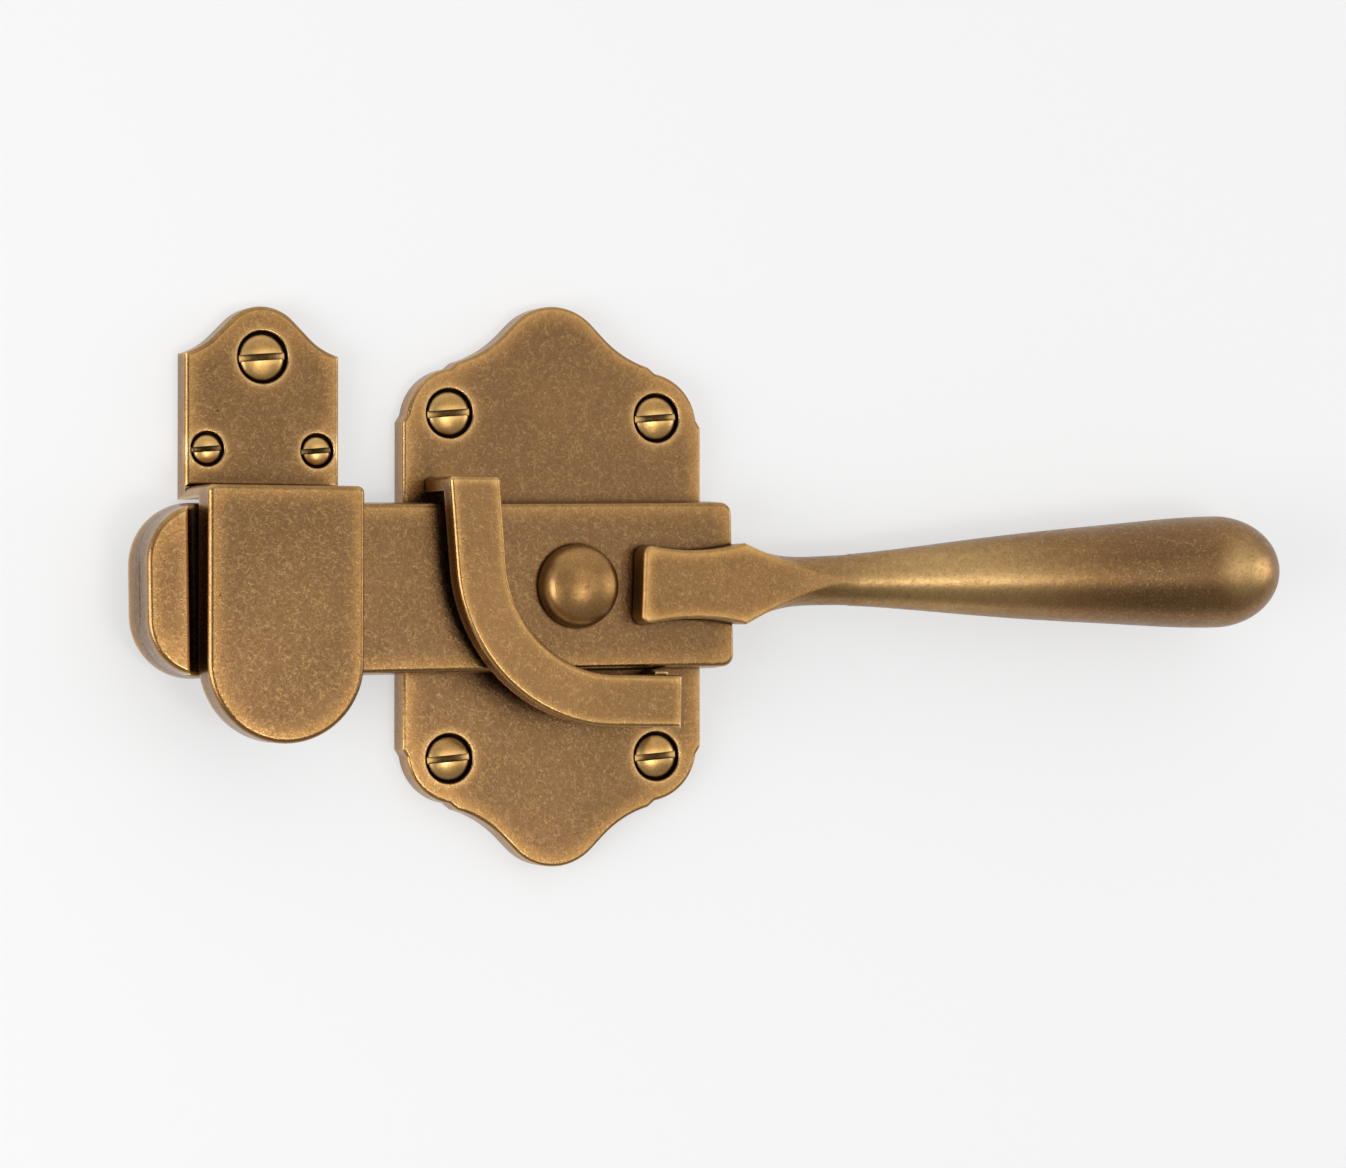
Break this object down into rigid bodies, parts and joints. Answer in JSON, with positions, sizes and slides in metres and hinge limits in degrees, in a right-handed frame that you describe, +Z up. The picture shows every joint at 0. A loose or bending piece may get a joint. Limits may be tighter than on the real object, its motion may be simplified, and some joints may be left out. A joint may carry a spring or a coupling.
{
  "type": "icebox latch handle",
  "caption": "Lever latch for an icebox or cabinet door: crowned plate, curved guide strap, pivoting bar with teardrop handle, and a keeper with a deep tongue.",
  "frame": {"origin": "on the door face, in the middle of the four plate screws", "axes": "+X to the right along the handle, +Z up, +Y into the door, so the latch stands out towards -Y"},
  "size_m": [0.1828, 0.0397, 0.0826],
  "materials": {
    "plate_brass": "aged antique brass, satin, with brighter worn edges",
    "strap_brass": "aged antique brass, satin, with brighter worn edges",
    "rivet_brass": "aged antique brass, worn smooth",
    "screw_brass": "aged antique brass with dark slots",
    "lever_brass": "aged antique brass, satin, with fine scratches and pits",
    "handle_brass": "aged antique brass, rubbed smoother on the grip",
    "keeper_brass": "aged antique brass, satin, with brighter worn edges"
  },
  "bodies": {
    "mounting": {"base_plate": "plate_brass", "guide_strap": "strap_brass", "pivot_rivet": "rivet_brass", "plate_screws": "screw_brass", "keeper": "keeper_brass", "keeper_top_screw": "screw_brass", "keeper_small_screws": "screw_brass"},
    "lever": {"bolt_bar": "lever_brass", "handle": "handle_brass"}
  },
  "joints": [
    {"name": "lever_pivot", "type": "hinge", "parent": "mounting", "child": "lever", "pos_m": [0.0013, 0, 0], "axis": [0, -1, 0], "range_deg": [0, 85]}
  ]
}
